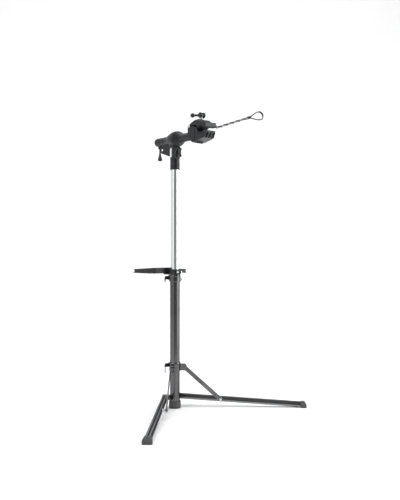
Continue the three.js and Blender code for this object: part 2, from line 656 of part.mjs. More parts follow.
function lowerJaw() {
  const { halfWidth: w, tip, mouth, lipLow, pivot, knuckle, cheek, pin } = JAW;
  const outline = [
    [138, 1343], [138, 1309], [141, 1303], [150, 1283], [160, 1270], [183, 1264], [215, 1270],
    [253, 1279], [tip, 1300], [tip, lipLow],
    ...arc(mouth.f, mouth.z, mouth.radius, -32.3, -170, 14), [205, 1322], [201, 1331], [176, 1336.5],
    [160, 1339],
  ];
  const body = inArmPlane(outline, -w, w);
  const knuckles = [[-w, -cheek], [cheek, w]].map(([x0, x1]) => acrossAt(pivot, x0, x1, knuckle));
  const between = acrossAt(pivot, -cheek, cheek, knuckle + 0.6);
  const boss = rod(onRod(WHEEL.half + 0.8), onRod(WHEEL.sleeveTop + 6), 13.5, MIDDLE);
  const overWheel = rod(onRod(-20), onRod(WHEEL.half + 0.6), WHEEL.radius + 1, ROUND);
  const sideGrooves = [-1, 1].map((s) => box(s * w - s * 3, s * (w + 4), -190.5, -187.5, 1200, 1328));
  const frontGrooves = [-19, 0, 19].map((x) => inArmPlane(
    [[259.5, 1302], [268, 1302], [268, 1262], [240, 1262], [247, 1279]], x - 4, x + 4));
  const frontCuts = [-1, 1].map((s) => upright(
    [[s * w, -236], [s * (w + 9), -236], [s * (w + 9), -290], [s * (w - 5), -tip - 1]], 1200, 1400));
  return cut(join(cut(body, between), ...knuckles, boss),
    acrossAt(pivot, -BIG, BIG, pin + GAP), overWheel,
    rod(onRod(-20), onRod(WHEEL.sleeveTop + 6), WHEEL.sleeveRadius + 0.4, MIDDLE),
    rod(onRod(0), onRod(BIG), ROD.radius + 0.6, SMALL), ...sideGrooves, ...frontGrooves, ...frontCuts);
}

function upperJaw() {
  const { halfWidth: w, tip, mouth, lipHigh, pivot, knuckle, cheek, pin } = JAW;
  const outline = [
    [142, 1345], [145, 1350], [152, 1356], [164, 1362], [176, 1368.5], [185, 1371.5], [192, 1371.5],
    [204, 1368.5], [214, 1362.5], [222, 1357], [230, 1353], [244, 1349.5], [tip - 3, 1347.5],
    [tip, 1344], [tip, lipHigh],
    ...arc(mouth.f, mouth.z, mouth.radius, 32.3, 160, 13), [203, 1338.5], [160, 1344],
  ];
  const body = inArmPlane(outline, -w, w);
  const knuckled = acrossAt(pivot, -cheek + GAP, cheek - GAP, knuckle);
  const besides = [[-w - 1, -cheek + GAP], [cheek - GAP, w + 1]].map(([x0, x1]) =>
    acrossAt(pivot, x0, x1, knuckle + 0.6));
  const under = inArmPlane([[130, 1330], [160, 1330], [160, 1343.9], [130, 1346]], -w, w);
  const seat = rod(onRod(81.5), onRod(103), 15, MIDDLE);
  const hump = join(acrossAt({ f: 240, z: 1348 }, -13, 13, 11), acrossAt({ f: 224, z: 1350 }, -16, 16, 9));
  const slot = inArmPlane([[178, 1320], [205, 1320], [205, 1338], [229, 1374], [229, 1390], [178, 1390]],
    -7, 7);
  const mouthCut = acrossAt(mouth, -BIG, BIG, mouth.radius, 28);
  // The back is crowned: it steps down twice towards each side.
  const shoulders = [[12, 22, 3.5], [22, w + 1, 0]].flatMap(([from, to, rise]) => {
    const over = [[130, 1342], [150, 1349], [160, 1354], [176, 1360], [192, 1365], [210, 1362],
      [222, 1356], [250, 1349], [270, 1347]].map(([f, z]) => [f, z + rise]);
    const above = [...over, [270, 1400], [130, 1400]];
    return [inArmPlane(above, from, to), inArmPlane(above, -to, -from)];
  });
  return cut(join(cut(body, under, ...besides), cut(knuckled, under.subtract(knuckled)), seat, hump),
    acrossAt(pivot, -BIG, BIG, pin + GAP), slot, mouthCut, ...shoulders);
}

// A rubber lining that follows the mouth and lies along the lip.
function jawPad(upper) {
  const { mouth, pad, tip, halfWidth, lipLow, lipHigh } = JAW;
  const outer = mouth.radius - GAP;
  const inner = outer - pad;
  const flip = upper ? 1 : -1;
  const lip = upper ? lipHigh - GAP : lipLow + GAP;
  const face = lip - flip * pad;
  const start = (r, z) => THREE.MathUtils.radToDeg(Math.asin((z - mouth.z) / r)) * flip;
  const outline = [
    [tip - 1, face], [tip - 1, lip],
    ...arc(mouth.f, mouth.z, outer, flip * start(outer, lip), flip * (upper ? 150 : 165), 12),
    ...arc(mouth.f, mouth.z, inner, flip * (upper ? 150 : 165), flip * start(inner, face), 12),
  ];
  return inArmPlane(outline, -halfWidth + 3, halfWidth - 3);
}

const jawPin = () => join(
  acrossAt(JAW.pivot, -JAW.halfWidth - 2, JAW.halfWidth + 2, JAW.pin),
  ...[-1, 1].map((s) => acrossAt(JAW.pivot, s * (JAW.halfWidth + GAP), s * (JAW.halfWidth + 2.6), 6.5)),
);

// A wheel under the lower jaw, with a threaded sleeve that the rod screws into.
function adjuster() {
  const { radius, half, sleeveRadius, sleeveTop } = WHEEL;
  const wheel = rod(onRod(-half), onRod(half), radius, ROUND);
  const grips = Array.from({ length: 16 }, (_, i) => {
    const side = V(1, 0, 0).applyAxisAngle(rodDirection, (2 * Math.PI * i) / 16).multiplyScalar(radius + 1.5);
    return rod(onRod(-half - 4).add(side), onRod(half + 4).add(side), 3, 12);
  });
  const body = join(cut(wheel, ...grips), rod(onRod(half - 1), onRod(sleeveTop), sleeveRadius, MIDDLE));
  return cut(body, rod(onRod(-4.2), onRod(BIG), ROD.radius + GAP, SMALL));
}

// A threaded rod with an eye at its top for the cam's pin.
const CAM_PIN = 3;
function clampRod() {
  const acrossEye = (distance) => onRod(rodLength).addScaledVector(camAxis, distance);
  const eye = rod(acrossEye(-4), acrossEye(4), 7, SMALL);
  return cut(join(rod(onRod(-1), onRod(rodLength), ROD.radius, SMALL), eye),
    rod(acrossEye(-30), acrossEye(30), CAM_PIN + GAP, SMALL));
}
const camWasher = () => cut(rod(onRod(104.3), onRod(107.8), 12, MIDDLE),
  rod(onRod(60), onRod(160), ROD.radius + GAP, SMALL));

// The cam's pin lies across the lever, and square to the rod.
const leverDirection = V(0, 0.989, 0.146).normalize();
const camAxis = rodDirection.clone().cross(leverDirection).normalize();

function clampCam() {
  const centre = onRod(rodLength);
  const at = (along, across) =>
    centre.clone().addScaledVector(leverDirection, along).addScaledVector(camAxis, across);
  const hub = rod(at(0, -CAM.thickness / 2), at(0, CAM.thickness / 2), CAM.radius, MIDDLE);
  const arm = rod(at(6, 0), at(CAM.reach - 4, 0), 7, SMALL, 5);
  const slotSize = new THREE.BoxGeometry(2 * CAM.radius + 4, 10, 60);
  const up = leverDirection.clone().cross(camAxis);
  slotSize.applyMatrix4(new THREE.Matrix4().makeBasis(leverDirection, camAxis, up));
  const middle = at(-7.4, 0);
  slotSize.translate(middle.x, middle.y, middle.z);
  return cut(join(hub, arm), solid(slotSize), rod(at(0, -30), at(0, 30), CAM_PIN + GAP, SMALL),
    ball(at(CAM.reach, 0), CAM.ball + GAP, SMALL));
}

const camBall = () => ball(onRod(rodLength).addScaledVector(leverDirection, CAM.reach), CAM.ball, SMALL);
const camPin = () => {
  const at = (across) => onRod(rodLength).addScaledVector(camAxis, across);
  const half = CAM.thickness / 2;
  return join(
    rod(at(-half - 1), at(half + 1), CAM_PIN, SMALL),
    rod(at(half + GAP), at(half + 2), 5, SMALL), rod(at(-half - 2), at(-half - GAP), 5, SMALL),
  );
};

// ---------------------------------------------------------------- rope
const strapAnchor = () => join(
  rod(V(JAW.halfWidth + GAP, -258, 1333), V(JAW.halfWidth + 2.6, -258, 1333), 6.5, SMALL),
  rod(V(JAW.halfWidth + 2, -258, 1333), V(JAW.halfWidth + 5, -258, 1333), 2.8),
);

const ropeTube = () => swept([ROPE.start, ROPE.end], ROPE.radius, 10, 9);

function ferrule() {
  const [from, to] = [V(...ROPE.end), V(...FERRULE_END)];
  const along = to.clone().sub(from).normalize();
  return rod(from.addScaledVector(along, GAP), to, 7, 24, 6);
}

// The rope's end, laid into a loop and held by the ferrule.
const LOOP_POINTS = [
  [287.5, -229.7, 1414], [303, -229.5, 1424.5], [322, -229.5, 1436.5], [341, -229.7, 1444],
  [358, -230, 1443.5], [370, -230.2, 1434], [371, -230.4, 1420], [361, -230.5, 1409.5],
  [343, -230.5, 1405.5], [321, -230.4, 1405], [302, -230.2, 1406.5], [288.2, -229.9, 1408.3],
];
const loopTube = () => swept(LOOP_POINTS, LOOP.radius, 8, 44);

// ---------------------------------------------------------------- assembly
const stand = new THREE.Group();
const sides = [sideOf('right', 1), sideOf('left', -1)];
const add = (name, shape, material, group = stand) => group.add(mesh(name, shape, material));

add('column_foot', columnFoot(), rubber);
add('main_tube', mainTube(), blackTube);
add('leg_hub', legHub(sides), plastic);
add('height_collar', heightCollar(), plastic);
add('height_bolt', collarBolt((HEIGHT_EARS[0] + HEIGHT_EARS[1]) / 2), steel);
add('height_lever', camLever((HEIGHT_EARS[0] + HEIGHT_EARS[1]) / 2, 22), plastic);
add('guide_screw', guideScrew(), steel);

add('slider_collar', sliderCollar(sides), plastic);
add('slider_bolt', collarBolt((SLIDER_EARS[0] + SLIDER_EARS[1]) / 2), steel);
add('slider_lever', camLever((SLIDER_EARS[0] + SLIDER_EARS[1]) / 2, 38), steel);

for (const side of sides) {
  const { yaw, pitch } = legGroup(side);
  stand.add(yaw);
  add(`leg_tube_${side.name}`, legTube(), blackTube, pitch);
  add(`leg_knuckle_${side.name}`, legKnuckle(), plastic, pitch);
  const level = new THREE.Group();
  level.position.copy(pitch.position);
  yaw.add(level);
  add(`leg_foot_${side.name}`, legFoot(), rubber, level);
  add(`leg_lug_${side.name}`, legLug(side), steel);
  add(`leg_pin_${side.name}`, hingePin(side), steel);
  add(`brace_${side.name}`, braceBar(side), blackTube);
  add(`brace_upper_pin_${side.name}`, braceUpperPin(side), steel);
  add(`brace_lower_pin_${side.name}`, braceLowerPin(side), steel);
}

add('inner_tube', innerTube(), silver);
add('guide_bush', guideBush(), plastic);
add('tray_ring', trayRing(), plastic);
add('tray_pan', trayPan(), plastic);
add('tray_screw_left', trayScrew(TRAY_SCREWS[0]), steel);
add('tray_screw_right', trayScrew(TRAY_SCREWS[1]), steel);
add('tray_bolt', trayBolt(), steel);

add('head_bracket', headBracket(), casting);
add('head_bolt_upper', headBolt(HEAD.upperBolt), steel);
add('head_bolt_lower', headBolt(HEAD.lowerBolt), steel);
add('head_lever', headLever(), plastic);
add('barrel_cap', barrelCap(), plastic);
add('lock_screw', lockScrew(), steel);
add('lock_knob', lockKnob(), plastic);
RINGS.forEach((size, i) => add(`friction_ring_${i + 1}`, frictionRing(size), casting));

add('clamp_shaft', clampShaft(), casting);
add('lower_jaw', lowerJaw(), casting);
add('lower_pad', jawPad(false), rubber);
add('jaw_pin', jawPin(), steel);
add('upper_jaw', upperJaw(), casting);
add('upper_pad', jawPad(true), rubber);
add('adjuster_wheel', adjuster(), plastic);
add('clamp_rod', clampRod(), steel);
add('cam_washer', camWasher(), steel);
add('cam_lever', clampCam(), plastic);
add('cam_ball', camBall(), plastic);
add('cam_pin', camPin(), steel);

add('strap_anchor', strapAnchor(), steel);
add('strap_rope', ropeTube(), cordFinish);
add('strap_ferrule', ferrule(), rubber);
add('strap_loop', loopTube(), cordFinish);

export default stand;
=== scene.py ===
"""The looks of a folding bicycle repair stand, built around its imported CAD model."""

import json
import math

import bmesh
import bpy
from mathutils import Matrix, Vector


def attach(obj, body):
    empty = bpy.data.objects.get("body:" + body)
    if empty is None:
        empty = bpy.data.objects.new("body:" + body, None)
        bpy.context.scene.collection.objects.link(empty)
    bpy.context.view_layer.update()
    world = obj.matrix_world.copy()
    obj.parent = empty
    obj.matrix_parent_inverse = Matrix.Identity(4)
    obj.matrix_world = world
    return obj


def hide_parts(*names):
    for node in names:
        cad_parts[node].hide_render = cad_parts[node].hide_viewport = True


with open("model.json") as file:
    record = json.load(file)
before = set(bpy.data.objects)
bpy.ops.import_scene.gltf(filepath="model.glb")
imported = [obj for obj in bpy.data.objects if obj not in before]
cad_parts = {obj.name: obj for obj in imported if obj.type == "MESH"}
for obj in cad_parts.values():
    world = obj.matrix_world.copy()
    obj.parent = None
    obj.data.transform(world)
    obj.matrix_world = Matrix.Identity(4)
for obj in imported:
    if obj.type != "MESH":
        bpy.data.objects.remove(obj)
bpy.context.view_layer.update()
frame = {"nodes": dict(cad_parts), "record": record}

MM = 0.001
BODY_OF = {
    node: body
    for body, nodes in frame["record"]["behaviour"]["bodies"].items()
    for node in nodes
}
SLOT_OF = {row["node"]: row["material_slot"] for row in frame["record"]["subparts"]}
SMOOTH_BELOW = math.radians(34)
BEVEL_ABOVE = math.radians(28)
SAME_PLACE = 2e-6  # metres between vertices that are one
SAME_PLANE = math.radians(0.6)


def mm(x, y, z):
    return Vector((x, y, z)) * MM


# ------------------------------------------------------------------ camera
EYE = (-2.037, -2.599, 0.765)
LOOKING = Vector((0.6455, 0.7638, 0))
TO_CAMERA = Vector((-LOOKING.x, -LOOKING.y, 0)).normalized()
TO_RIGHT = Vector((LOOKING.y, -LOOKING.x, 0)).normalized()  # as the camera sees it
LENS_MM, SENSOR_MM = 48.96, 36


def make_camera():
    data = bpy.data.cameras.new("camera")
    data.lens = LENS_MM
    data.sensor_width = SENSOR_MM
    camera = bpy.data.objects.new("camera", data)
    camera.location = EYE
    camera.rotation_euler = LOOKING.to_track_quat("-Z", "Y").to_euler()
    bpy.context.scene.collection.objects.link(camera)
    bpy.context.scene.camera = camera


make_camera()


# ------------------------------------------------------------------ mesh tools
def new_object(name, verts, faces):
    data = bpy.data.meshes.new(name)
    data.from_pydata([tuple(v) for v in verts], [], faces)
    data.validate()
    obj = bpy.data.objects.new(name, data)
    bpy.context.scene.collection.objects.link(obj)
    return obj


def outward(obj):
    """Turns every face outwards, and shades smoothly across all but the sharp edges."""
    bm = bmesh.new()
    bm.from_mesh(obj.data)
    bmesh.ops.recalc_face_normals(bm, faces=bm.faces)
    bm.to_mesh(obj.data)
    bm.free()
    obj.data.shade_smooth()
    obj.data.set_sharp_from_angle(angle=SMOOTH_BELOW)
    return obj


def frame_about(axis):
    """Two directions square to an axis and to each other."""
    axis = Vector(axis).normalized()
    side = Vector((1, 0, 0)) if abs(axis.x) < 0.9 else Vector((0, 1, 0))
    u = (side - axis * side.dot(axis)).normalized()
    return u, axis.cross(u), axis


def grid_tube(name, rings, closed_rows=False):
    """Joins rings of points into a tube. Its two ends are capped, or joined to each other."""
    count = len(rings[0])
    verts = [p for ring in rings for p in ring]
    faces = []
    rows = len(rings) if closed_rows else len(rings) - 1
    for i in range(rows):
        for j in range(count):
            a, b = i * count, (i + 1) % len(rings) * count
            k = (j + 1) % count
            faces.append((a + j, a + k, b + k, b + j))
    if not closed_rows:
        faces.append(tuple(range(count))[::-1])
        faces.append(tuple(range(len(verts) - count, len(verts))))
    return outward(new_object(name, verts, faces))


def lathe(name, profile, origin=(0, 0, 0), axis=(0, 0, 1), steps=96, wave=None):
    """A profile of (radius, height) in millimetres turned about an axis.

    A profile that starts on the axis is a solid, and any other is a ring.
    wave(angle, radius, height) may change a radius.
    """
    u, v, w = frame_about(axis)
    origin = Vector(origin)
    hollow = profile[0][0] > 0
    rings = []
    for r, h in profile:
        ring = []
        for j in range(steps):
            angle = 2 * math.pi * j / steps
            radius = max(wave(angle, r, h) if wave else r, 0.02)
            out = u * math.cos(angle) + v * math.sin(angle)
            ring.append(origin + (out * radius + w * h) * MM)
        rings.append(ring)
    return grid_tube(name, rings, closed_rows=hollow)


def flat_piece(name, outline, along, up, start, end, bevel):
    """An outline of (along, up) in millimetres, from start to end across them, with soft edges."""
    across = along.cross(up)
    rings = [[(along * a + up * b + across * d) * MM for a, b in outline] for d in (start, end)]
    return softened(grid_tube(name, rings), bevel, 3)


def softened(obj, width, segments=2):
    """Rounds the edges that are sharper than BEVEL_ABOVE."""
    bevel = obj.modifiers.new("edges", "BEVEL")
    bevel.width = width * MM
    bevel.segments = segments
    bevel.limit_method = "ANGLE"
    bevel.angle_limit = BEVEL_ABOVE
    return obj


def applied(obj):
    """The object with its modifiers made part of its mesh."""
    evaluated = obj.evaluated_get(bpy.context.evaluated_depsgraph_get())
    data = bpy.data.meshes.new_from_object(evaluated)
    obj.modifiers.clear()
    obj.data = data
    return obj


def node_copy(node, name):
    """A CAD node's shape as a new object, without the split vertices and flat triangles."""
    data = frame["nodes"][node].data.copy()
    data.materials.clear()
    obj = bpy.data.objects.new(name, data)
    bpy.context.scene.collection.objects.link(obj)
    bm = bmesh.new()
    bm.from_mesh(data)
    bmesh.ops.remove_doubles(bm, verts=bm.verts, dist=SAME_PLACE)
    bmesh.ops.dissolve_limit(bm, angle_limit=SAME_PLANE, verts=bm.verts, edges=bm.edges)
    bm.to_mesh(data)
    bm.free()
    return obj


def refined(node, name, bevel=0.4, segments=2):
    """A CAD node with fine rounded edges."""
    return softened(outward(node_copy(node, name)), bevel, segments)


def moulded(node, name, voxel, smoothing):
    """A CAD node as a casting or moulding, with a fillet in every corner."""
    obj = node_copy(node, name)
    remesh = obj.modifiers.new("one skin", "REMESH")
    remesh.mode = "VOXEL"
    remesh.voxel_size = voxel * MM
    smooth = obj.modifiers.new("fillets", "SMOOTH")
    smooth.factor = 0.5
    smooth.iterations = smoothing
    applied(obj)
    obj.data.shade_smooth()
    return obj


# ------------------------------------------------------------------ materials
def socket(node, name, value):
    node.inputs[name].default_value = value


def fill_ramp(ramp, stops):
    elements = ramp.color_ramp.elements
    while len(elements) < len(stops):
        elements.new(0.5)
    for element, (place, colour) in zip(elements, stops):
        element.position = place
        element.color = (*colour, 1)


class Finish:
    """A procedural material: a Principled shader with bump, and colour and roughness that vary."""

    def __init__(self, name, colour, roughness, metallic=0.0):
        self.material = bpy.data.materials.new(name)
        self.material.use_nodes = True
        self.nodes = self.material.node_tree.nodes
        self.links = self.material.node_tree.links
        self.shader = self.nodes["Principled BSDF"]
        socket(self.shader, "Base Color", (*colour, 1))
        socket(self.shader, "Roughness", roughness)
        socket(self.shader, "Metallic", metallic)
        self.material.diffuse_color = (*colour, 1)
        self.where = self.nodes.new("ShaderNodeTexCoord").outputs["Object"]
        self.height = None

    def scaled(self, scale):
        mapping = self.nodes.new("ShaderNodeMapping")
        socket(mapping, "Scale", scale)
        self.links.new(self.where, mapping.inputs["Vector"])
        return mapping.outputs["Vector"]

    def noise(self, scale, detail, stretch=(1, 1, 1)):
        node = self.nodes.new("ShaderNodeTexNoise")
        socket(node, "Scale", scale)
        socket(node, "Detail", detail)
        socket(node, "Roughness", 0.55)
        self.links.new(self.scaled(stretch), node.inputs["Vector"])
        return node.outputs["Fac"]

    def cells(self, scale):
        node = self.nodes.new("ShaderNodeTexVoronoi")
        socket(node, "Scale", scale)
        self.links.new(self.where, node.inputs["Vector"])
        return node.outputs["Distance"]

    def waves(self, scale, distortion, stretch=(1, 1, 1)):
        """Slanting bands."""
        node = self.nodes.new("ShaderNodeTexWave")
        node.bands_direction = "DIAGONAL"
        socket(node, "Scale", scale)
        socket(node, "Distortion", distortion)
        self.links.new(self.scaled(stretch), node.inputs["Vector"])
        return node.outputs["Fac"]

    def edges(self, low, high):
        """Near 1 on worn, outward edges and 0 elsewhere."""
        point = self.nodes.new("ShaderNodeNewGeometry").outputs["Pointiness"]
        return self.between(point, low, high, 0.0, 1.0)

    def between(self, value, low, high, to_low, to_high):
        node = self.nodes.new("ShaderNodeMapRange")
        for name, number in (
            ("From Min", low), ("From Max", high), ("To Min", to_low), ("To Max", to_high)
        ):
            socket(node, name, number)
        self.links.new(value, node.inputs["Value"])
        return node.outputs["Result"]

    def colours(self, value, stops):
        ramp = self.nodes.new("ShaderNodeValToRGB")
        fill_ramp(ramp, stops)
        self.links.new(value, ramp.inputs["Fac"])
        return ramp.outputs["Color"]

    def mixed(self, value, first, second):
        """One colour where value is 0, and another where it is 1."""
        mix = self.nodes.new("ShaderNodeMix")
        mix.data_type = "RGBA"
        self.links.new(value, mix.inputs[0])
        for place, colour in ((6, first), (7, second)):
            if isinstance(colour, tuple):
                mix.inputs[place].default_value = (*colour, 1)
            else:
                self.links.new(colour, mix.inputs[place])
        return mix.outputs[2]

    def paint(self, colour):
        self.links.new(colour, self.shader.inputs["Base Color"])
        return self

    def rough(self, value, low, high):
        self.links.new(self.between(value, 0.3, 0.7, low, high), self.shader.inputs["Roughness"])
        return self

    def bump(self, value, strength, distance_mm):
        node = self.nodes.new("ShaderNodeBump")
        socket(node, "Strength", strength)
        socket(node, "Distance", distance_mm * MM)
        self.links.new(value, node.inputs["Height"])
        if self.height:
            self.links.new(self.height, node.inputs["Normal"])
        self.height = node.outputs["Normal"]
        self.links.new(self.height, self.shader.inputs["Normal"])
        return self


def drawn_tube(name, dark, light, roughness, grain=(1, 1, 0.02), rim=0.35):
    """Anodised aluminium, with fine drawing lines along it."""
    finish = Finish(name, dark, roughness, 1.0)
    socket(finish.shader, "Specular Tint", (rim, rim, rim, 1))
    lines = finish.noise(900, 3, grain)
    finish.paint(finish.colours(finish.noise(14, 3), [(0.3, dark), (0.75, light)]))
    finish.rough(lines, roughness - 0.05, roughness + 0.09)
    return finish.bump(lines, 0.12, 0.05)


def extrusion_finish(name, dark, light):
    return drawn_tube(name, dark, light, 0.34, (1, 1, 1))


def steel_finish(name, colour, roughness):
    """Plated steel, slightly clouded."""
    finish = Finish(name, colour, roughness, 1.0)
    bright = tuple(c * 1.18 for c in colour)
    finish.paint(finish.colours(finish.noise(160, 4), [(0.3, colour), (0.7, bright)]))
    finish.rough(finish.noise(420, 3), roughness - 0.05, roughness + 0.12)
    return finish.bump(finish.noise(1500, 2), 0.08, 0.03)


def casting_finish():
    """Black powder coat over a casting: a fine orange peel, and greyer, rubbed edges."""
    dark, worn = (0.007, 0.009, 0.012), (0.06, 0.067, 0.075)
    finish = Finish("powder_coat", dark, 0.34, 0.0)
    socket(finish.shader, "Specular IOR Level", 0.32)
    socket(finish.shader, "Coat Weight", 0.08)
    socket(finish.shader, "Coat Roughness", 0.16)
    base = finish.colours(finish.noise(35, 4), [(0.3, dark), (0.75, (0.013, 0.016, 0.020))])
    finish.paint(finish.mixed(finish.edges(0.53, 0.66), base, worn))
    finish.rough(finish.noise(260, 4), 0.26, 0.42)
    return finish.bump(finish.cells(1300), 0.16, 0.12).bump(finish.noise(300, 3), 0.12, 0.12)


def plastic_finish(name, dark, light):
    """Moulded plastic with a spark-eroded grain."""
    finish = Finish(name, dark, 0.4, 0.0)
    socket(finish.shader, "Specular IOR Level", 0.42)
    finish.paint(finish.colours(finish.noise(60, 4), [(0.35, dark), (0.7, light)]))
    finish.rough(finish.noise(500, 3), 0.33, 0.5)
    return finish.bump(finish.cells(1800), 0.2, 0.08)


def rubber_finish(name, dark, light, dusty):
    """Matt rubber, dusty along its edges."""
    finish = Finish(name, dark, 0.78, 0.0)
    base = finish.colours(finish.noise(90, 5), [(0.4, dark), (0.72, light)])
    finish.paint(finish.mixed(finish.edges(0.54, 0.64), base, dusty))
    finish.rough(finish.noise(300, 3), 0.68, 0.88)
    return finish.bump(finish.noise(900, 4), 0.3, 0.12)


def cord_finish(name, dark, light, sheen):
    """A braided polyester cover: crossing yarns over a round strand."""
    finish = Finish(name, dark, 0.62, 0.0)
    socket(finish.shader, "Sheen Weight", sheen)
    socket(finish.shader, "Specular IOR Level", 0.25)
    yarns = finish.waves(420, 1.5)
    crossing = finish.waves(420, 1.5, (1, -1, 1))
    finish.paint(finish.colours(yarns, [(0.25, dark), (0.8, light)]))
    return finish.bump(yarns, 0.5, 0.25).bump(crossing, 0.4, 0.2)


FINISHES = {
    name: finish.material for name, finish in {
        "black_tube": drawn_tube(
            "black_anodised", (0.112, 0.112, 0.114), (0.13, 0.13, 0.133), 0.13),
        "leg": extrusion_finish("black_extrusion", (0.045, 0.045, 0.046), (0.062, 0.062, 0.064)),
        # painted light: the legs' lighter strips, a painted reflection of the floor on the sides
        # and a painted highlight on the top
        "land": extrusion_finish("painted_light_land", (0.25, 0.25, 0.255), (0.33, 0.33, 0.335)),
        "brace": extrusion_finish("brace_bar", (0.13, 0.13, 0.133), (0.18, 0.18, 0.183)),
        "silver_tube": drawn_tube(
            "silver_anodised", (0.83, 0.84, 0.85), (0.9, 0.91, 0.92), 0.16, rim=0.8),
        "steel": steel_finish("zinc_steel", (0.62, 0.63, 0.64), 0.24),
        "dark_steel": steel_finish("black_oxide", (0.045, 0.045, 0.047), 0.34),
        "casting": casting_finish(),
        "black_plastic": plastic_finish(
            "black_plastic", (0.009, 0.009, 0.010), (0.016, 0.016, 0.018)),
        "grey_plastic": plastic_finish("grey_plastic", (0.075, 0.075, 0.077), (0.1, 0.1, 0.102)),
        "rubber": rubber_finish(
            "rubber", (0.014, 0.014, 0.015), (0.024, 0.024, 0.025), (0.055, 0.055, 0.056)),
        "grey_rubber": rubber_finish(
            "grey_rubber", (0.06, 0.06, 0.061), (0.08, 0.08, 0.081), (0.13, 0.13, 0.13)),
        "cord": cord_finish("cord_black", (0.003, 0.003, 0.004), (0.014, 0.014, 0.015), 0.05),
        # a black cord's strand painted grey: a painted highlight standing in for the sheen along
        # the twist
        "cord_painted_highlight": cord_finish("cord_painted_highlight", (0.14, 0.14, 0.145), (0.4, 0.4, 0.41), 0.3),
    }.items()
}


def finish_as(obj, finish):
    obj.data.materials.clear()
    obj.data.materials.append(FINISHES[finish])
    return obj


def stands_for(obj, *nodes, finish=None):
    """obj replaces CAD nodes, rides on the first one's body and takes its finish."""
    first = nodes[0]
    finish_as(obj, finish or SLOT_OF[first])
    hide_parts(*nodes)
    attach(obj, BODY_OF[first])
    return obj


def added(obj, beside, finish):
    """obj is a detail that belongs with a CAD node, in a finish of its own."""
    finish_as(obj, finish)
    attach(obj, BODY_OF[beside])
    return obj


def second_finish(obj, finish, where):
    """Gives a finish to the faces whose middle, in millimetres, lies where it's wanted."""
    obj.data.materials.append(FINISHES[finish])
    for face in obj.data.polygons:
        if where(face.center / MM):
            face.material_index = len(obj.data.materials) - 1


# ------------------------------------------------------------------ handlebar rope
ROPE_START, ROPE_END = mm(41, -258, 1327.5), mm(259, -233.2, 1402)
FERRULE_END = mm(285, -230, 1411)
STRAND = 3.6  # radius of each of the two strands, in millimetres
STRAND_OFFSET = 2.2  # of their middles from the rope's, so that they press into each other
LAY = 46  # along the rope for one turn of the strands
# one strand black, the other painted grey as a painted highlight of the twist
STRAND_FINISHES = ("cord", "cord_painted_highlight")
LOOP_DIAMETER = 0.0055
LOOP_SLEEVED = slice(26, 46)  # the points of the smoothed loop that its sleeve covers
LOOP_POINTS = [
    (287.5, -229.7, 1414), (303, -229.5, 1424.5), (322, -229.5, 1436.5), (341, -229.7, 1444),
    (358, -230, 1443.5), (370, -230.2, 1434), (371, -230.4, 1420), (361, -230.5, 1409.5),
    (343, -230.5, 1405.5), (321, -230.4, 1405), (302, -230.2, 1406.5), (288.2, -229.9, 1408.3),
]


def sweep(points, radius, sides, name, taper=None):
    """A round tube along points that are close together, without twisting.

    taper(part of the way along) may change its radius.
    """
    rings = []
    side = None
    for i, p in enumerate(points):
        tangent = (points[min(i + 1, len(points) - 1)] - points[max(i - 1, 0)]).normalized()
        if side is None:
            side = frame_about(tangent)[0]
        side = (side - tangent * side.dot(tangent)).normalized()
        other = tangent.cross(side)
        r = radius * MM * (taper(i / (len(points) - 1)) if taper else 1)
        rings.append([
            p + (side * math.cos(a) + other * math.sin(a)) * r
            for a in (2 * math.pi * j / sides for j in range(sides))
        ])
    return grid_tube(name, rings)


def smooth_line(points, per_span):
    """A Catmull-Rom line through points."""
    line = []
    for i in range(len(points) - 1):
        a, b = points[i], points[i + 1]
        before = points[i - 1] if i else a * 2 - b
        after = points[i + 2] if i + 2 < len(points) else b * 2 - a
        for k in range(per_span):
            t = k / per_span
            line.append(
                0.5 * (2 * a + (b - before) * t + (2 * before - 5 * a + 4 * b - after) * t * t
                       + (3 * a - before - 3 * b + after) * t ** 3)
            )
    return line + [points[-1]]


def joined(name, pieces):
    """One object of pieces, which go."""
    bm = bmesh.new()
    for piece in pieces:
        bm.from_mesh(piece.data)
        bpy.data.objects.remove(piece)
    data = bpy.data.meshes.new(name)
    bm.to_mesh(data)
    bm.free()
    obj = bpy.data.objects.new(name, data)
    bpy.context.scene.collection.objects.link(obj)
    obj.data.set_sharp_from_angle(angle=SMOOTH_BELOW)
    return obj


def twisted_strand(name, phase, steps=240):
    along = ROPE_END - ROPE_START
    u, v, w = frame_about(along)
    points = []
    for i in range(steps + 1):
        at = along.length * i / steps
        angle = 2 * math.pi * at / (LAY * MM) + phase
        out = u * math.cos(angle) + v * math.sin(angle)
        points.append(ROPE_START + w * at + out * STRAND_OFFSET * MM)
    return sweep(points, STRAND, 14, name)


def make_rope():
    strands = [twisted_strand("strand_a", 0), twisted_strand("strand_b", math.pi)]
    # the second strand takes the grey of the painted highlight
    for index, strand in enumerate(strands):
        for finish in STRAND_FINISHES:
            strand.data.materials.append(FINISHES[finish])
        for face in strand.data.polygons:
            face.material_index = index
    rope = joined("handlebar_rope", strands)
    for finish in STRAND_FINISHES:
        rope.data.materials.append(FINISHES[finish])
    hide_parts("strap_rope")
    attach(rope, BODY_OF["strap_rope"])
    return rope


def make_ferrule():
    """A whipped, heat-shrunk end that grips the rope and both ends of the loop."""
    along = FERRULE_END - ROPE_END
    length = along.length / MM
    profile = [(0, 0.4), (6.2, 0.4), (6.9, 1.4)]
    turns = 7
    for i in range(turns * 4 + 1):
        h = 2 + (length - 5) * i / (turns * 4)
        profile.append((6.75 + 0.25 * math.cos(math.pi * i / 2), h))
    profile += [(6.5, length - 1.2), (5.6, length), (0, length)]
    return stands_for(lathe("rope_ferrule", profile, ROPE_END, along, 40), "strap_ferrule")


